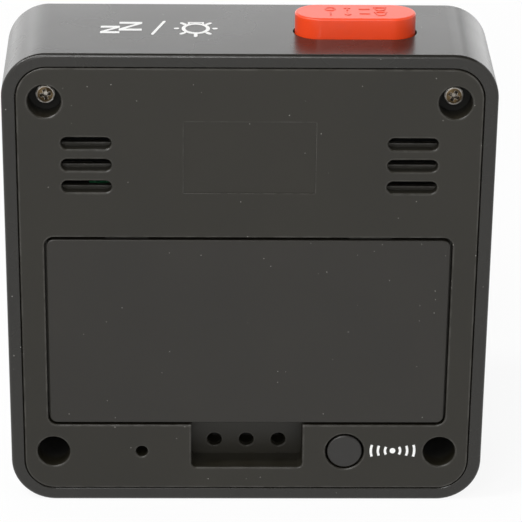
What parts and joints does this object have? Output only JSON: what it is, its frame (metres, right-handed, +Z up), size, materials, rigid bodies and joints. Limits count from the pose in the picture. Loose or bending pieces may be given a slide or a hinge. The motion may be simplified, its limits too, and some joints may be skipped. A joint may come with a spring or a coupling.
{
  "type": "alarm clock",
  "caption": "Square radio-controlled alarm clock with screwed rear panel, battery door, vent slots, finger notch and a pill-shaped alarm button in its top.",
  "frame": {"origin": "middle of the base, on the surface the clock stands on", "axes": "+Z up, +Y towards the screwed rear panel, so the display faces -Y and +X is to the right seen from the front"},
  "size_m": [0.0816, 0.028, 0.0834],
  "materials": {
    "case_plastic": "satin black moulding",
    "panel_plastic": "finely textured black moulding",
    "orange_plastic": "satin orange-red moulding",
    "key_plastic": "satin black moulding",
    "clear_plastic": "clear polished",
    "display_glass": "polarised display glass",
    "guide_plastic": "milky clear",
    "led_plastic": "white with a clear drop",
    "strip_rubber": "striped elastic",
    "tray_plastic": "plain black moulding",
    "screw_steel": "nickel plated",
    "board_laminate": "green lacquered laminate",
    "resin": "glossy black resin",
    "chip_plastic": "moulded chip case with tinned legs",
    "can_steel": "nickel plated",
    "buzzer_plastic": "plain black moulding",
    "switch_plastic": "plain dark moulding",
    "plunger_plastic": "plain white moulding",
    "ferrite": "sintered dark grey",
    "copper": "lacquered copper",
    "cell_jacket": "printed jacket with bare metal ends",
    "white_insulation": "plain insulation",
    "red_insulation": "plain insulation",
    "black_insulation": "plain insulation"
  },
  "bodies": {
    "clock": {"case_shell": "case_plastic", "rear_panel": "panel_plastic", "front_lens": "clear_plastic", "lcd_glass": "display_glass", "light_guide": "guide_plastic", "backlight_leds": "led_plastic", "contact_strip": "strip_rubber", "lcd_tray": "tray_plastic", "case_screws": "screw_steel", "tray_screws": "screw_steel", "board_screws": "screw_steel", "switch_board_screws": "screw_steel", "main_board": "board_laminate", "switch_board": "board_laminate", "controller_chip": "resin", "receiver_chip": "chip_plastic", "quartz_crystal": "can_steel", "positive_contact": "can_steel", "negative_contact": "can_steel", "bridge_contact": "can_steel", "battery_springs": "can_steel", "buzzer": "buzzer_plastic", "alarm_switch": "switch_plastic", "receive_switch": "switch_plastic", "reset_switch": "switch_plastic", "setting_switches": "switch_plastic", "ferrite_rod": "ferrite", "antenna_coil": "copper", "touch_foil": "copper", "battery_cells": "cell_jacket", "antenna_ribbon": "white_insulation", "touch_ribbon": "white_insulation", "switch_ribbon": "white_insulation", "red_lead": "red_insulation", "black_lead": "black_insulation"},
    "door": {"battery_door": "panel_plastic"},
    "alarm_button": {"alarm_button": "orange_plastic", "alarm_plunger": "plunger_plastic"},
    "receive_key": {"receive_key": "key_plastic", "receive_plunger": "plunger_plastic"},
    "reset_plunger": {"reset_plunger": "plunger_plastic"},
    "mode_key": {"mode_key": "key_plastic", "mode_plunger": "plunger_plastic"},
    "set_key": {"set_key": "key_plastic", "set_plunger": "plunger_plastic"},
    "minus_key": {"minus_key": "key_plastic", "minus_plunger": "plunger_plastic"},
    "plus_key": {"plus_key": "key_plastic", "plus_plunger": "plunger_plastic"}
  },
  "joints": [
    {"name": "door_swing", "type": "hinge", "parent": "clock", "child": "door", "pos_m": [0, 0.0135, 0.04825], "axis": [1, 0, 0], "range_deg": [0, 50]},
    {"name": "alarm_push", "type": "slide", "parent": "clock", "child": "alarm_button", "axis": [0, 0, -1], "range_m": [0, 0.0024]},
    {"name": "receive_push", "type": "slide", "parent": "clock", "child": "receive_key", "axis": [0, -1, 0], "range_m": [0, 0.0005], "stiffness_N_per_m": 2000},
    {"name": "reset_push", "type": "slide", "parent": "clock", "child": "reset_plunger", "axis": [0, -1, 0], "range_m": [0, 0.0003], "stiffness_N_per_m": 2000},
    {"name": "mode_push", "type": "slide", "parent": "clock", "child": "mode_key", "axis": [0, 1, 0], "range_m": [0, 0.0004], "stiffness_N_per_m": 2000},
    {"name": "set_push", "type": "slide", "parent": "clock", "child": "set_key", "axis": [0, 1, 0], "range_m": [0, 0.0004], "stiffness_N_per_m": 2000},
    {"name": "minus_push", "type": "slide", "parent": "clock", "child": "minus_key", "axis": [0, 1, 0], "range_m": [0, 0.0004], "stiffness_N_per_m": 2000},
    {"name": "plus_push", "type": "slide", "parent": "clock", "child": "plus_key", "axis": [0, 1, 0], "range_m": [0, 0.0004], "stiffness_N_per_m": 2000}
  ]
}
